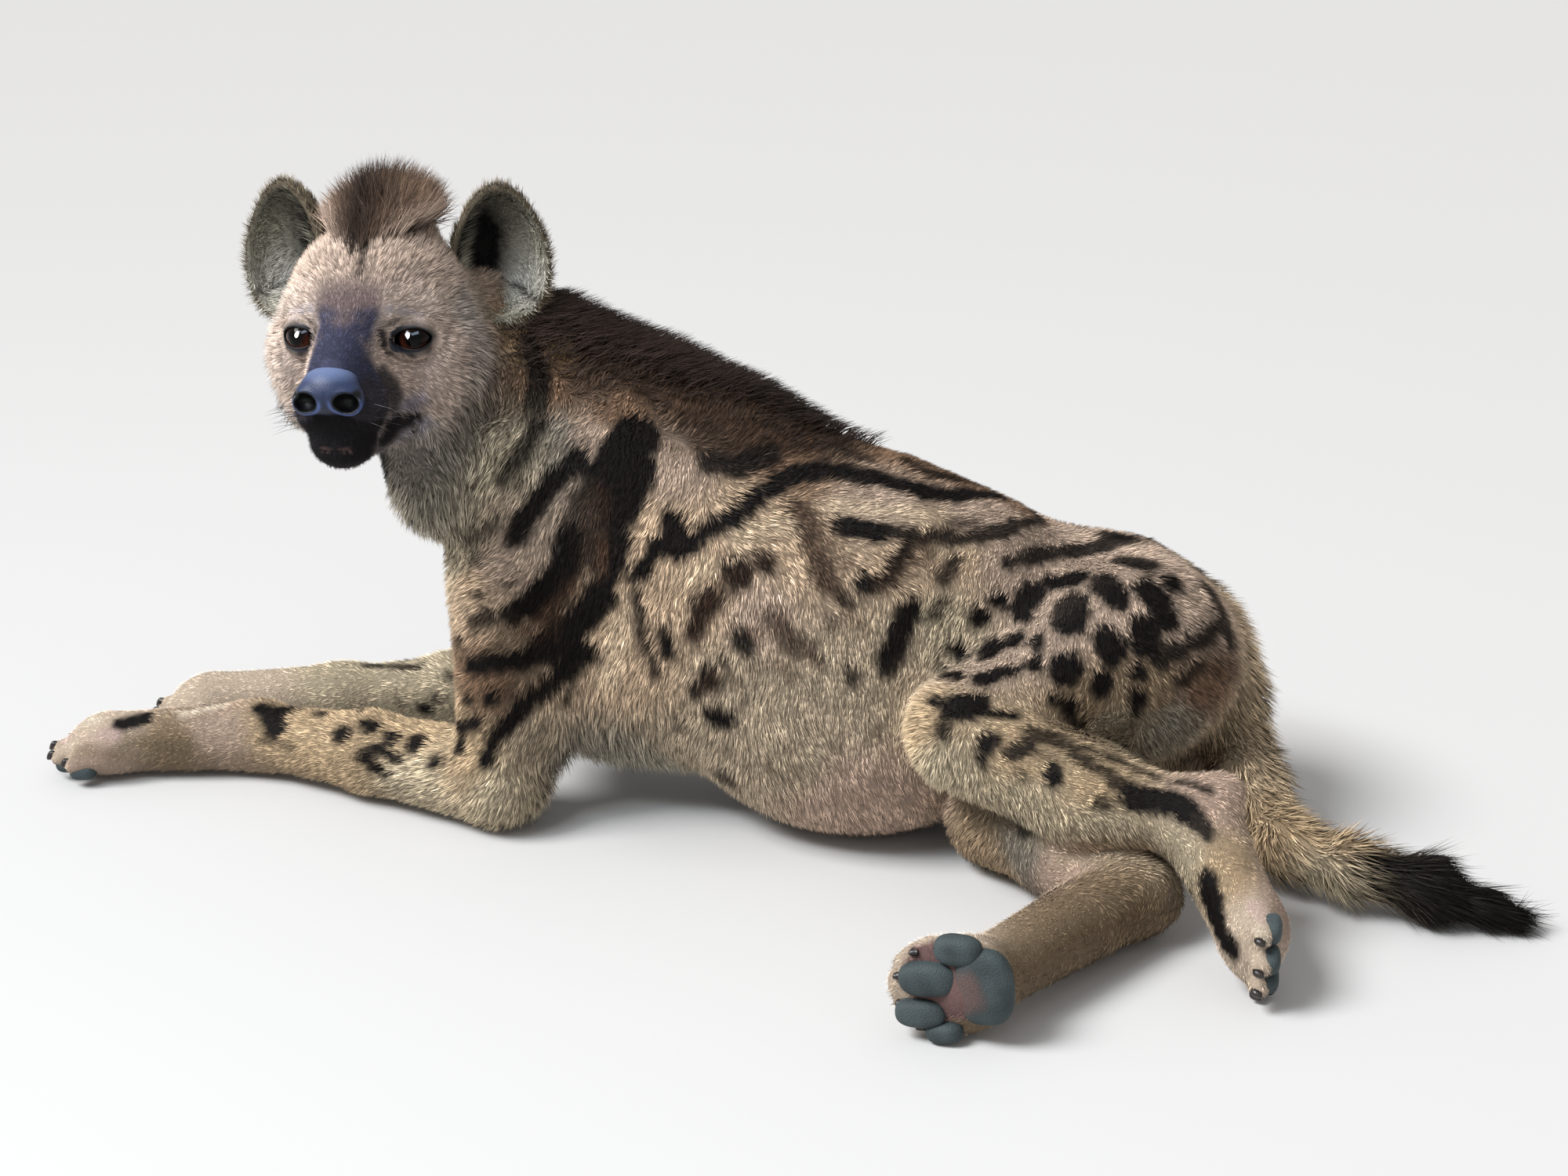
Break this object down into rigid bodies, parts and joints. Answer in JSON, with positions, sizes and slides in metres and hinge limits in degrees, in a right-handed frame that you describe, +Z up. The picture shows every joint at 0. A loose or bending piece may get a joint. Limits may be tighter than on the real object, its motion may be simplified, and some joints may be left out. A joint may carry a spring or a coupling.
{
  "type": "spotted hyena",
  "caption": "Life-size still model of a spotted hyena lying propped on its elbows, head turned to its left side, with spotted coat and dark mane.",
  "frame": {"origin": "on the floor, under the middle of the whole animal's box", "axes": "+X towards the tail, -X towards the forepaws, -Y towards the animal's left side and the viewer, +Z up"},
  "size_m": [1.4162, 0.6618, 0.6219],
  "materials": {
    "coat": "short sandy fur with dark brown stripes and spots, matt",
    "ear_coat": "very short grey-olive fur, almost bare and dark inside the cup",
    "eye": "wet, clear, dark brown iris with a black pupil",
    "nose": "bare, damp, finely grained blue-black skin",
    "pad": "bare, rough, blue-grey sole skin",
    "claw": "smooth black horn, worn blunt at the tips"
  },
  "bodies": {
    "root": {"torso": "coat", "head": "coat", "nose": "nose", "ear_left": "ear_coat", "eye_left": "eye", "ear_right": "ear_coat", "eye_right": "eye", "neck": "coat", "shoulder_left": "coat", "shoulder_right": "coat", "forearm_left": "coat", "forearm_right": "coat", "thigh_left": "coat", "thigh_right": "coat", "shank_left": "coat", "shank_right": "coat", "paw_front_left": "coat", "claw_paw_front_left_1": "claw", "claw_paw_front_left_2": "claw", "claw_paw_front_left_3": "claw", "claw_paw_front_left_4": "claw", "paw_front_right": "coat", "claw_paw_front_right_1": "claw", "claw_paw_front_right_2": "claw", "claw_paw_front_right_3": "claw", "claw_paw_front_right_4": "claw", "foot_hind_left": "coat", "claw_foot_hind_left_1": "claw", "claw_foot_hind_left_2": "claw", "claw_foot_hind_left_3": "claw", "claw_foot_hind_left_4": "claw", "foot_hind_right": "coat", "claw_foot_hind_right_1": "claw", "claw_foot_hind_right_2": "claw", "claw_foot_hind_right_3": "claw", "claw_foot_hind_right_4": "claw", "tail": "coat"}
  },
  "joints": []
}
